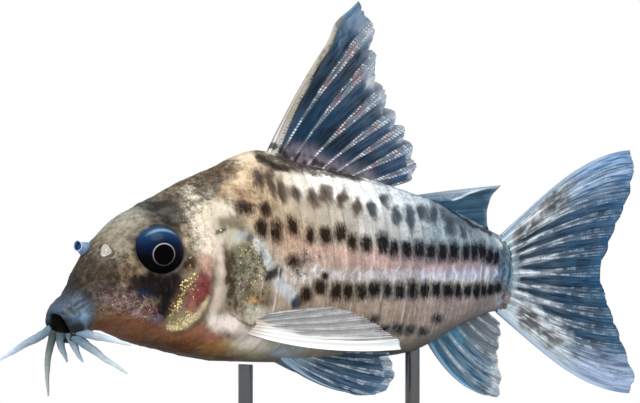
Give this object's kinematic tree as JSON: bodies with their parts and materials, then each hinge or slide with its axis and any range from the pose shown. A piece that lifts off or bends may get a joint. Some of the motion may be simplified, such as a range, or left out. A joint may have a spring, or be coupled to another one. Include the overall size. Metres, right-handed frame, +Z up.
{
  "type": "corydoras catfish model",
  "caption": "Life-size still model of a small spotted corydoras catfish, held just over a flat rectangular base by two thin rods, head and tail turned slightly to its left.",
  "frame": {"origin": "centre of the display stand's flat underside, where it stands on a table", "axes": "+Z up, +X from the snout towards the tail (the head points to -X), the fish's left side faces -Y"},
  "size_m": [0.0719, 0.027, 0.0501],
  "materials": {
    "skin": "wet scaleless skin, mottled olive and cream",
    "armour": "wet bony plates under thin skin, cream with rows of dark spots",
    "lips": "soft wet blue-grey skin",
    "eyes": "clear wet cornea over a blue-black iris",
    "fins": "thin translucent blue membrane with pale rays",
    "pale_fins": "thin translucent pale membrane with white rays",
    "stand_base": "satin dark grey",
    "stand_rods": "fine brushed"
  },
  "bodies": {
    "root": {"head": "skin", "gill_cover_left": "skin", "gill_cover_right": "skin", "torso": "armour", "tail_stalk": "armour", "mouth": "lips", "barbel_upper_left": "lips", "barbel_upper_right": "lips", "barbel_lower_left": "lips", "barbel_lower_right": "lips", "barbel_chin_left": "lips", "barbel_chin_right": "lips", "eye_left": "eyes", "eye_right": "eyes", "dorsal_fin": "fins", "adipose_fin": "fins", "tail_fin_upper": "fins", "tail_fin_lower": "fins", "anal_fin": "fins", "pelvic_fin_left": "fins", "pelvic_fin_right": "fins", "pectoral_fin_left": "pale_fins", "pectoral_fin_right": "pale_fins", "stand_base": "stand_base", "stand_rod_front": "stand_rods", "stand_rod_rear": "stand_rods"}
  },
  "joints": []
}
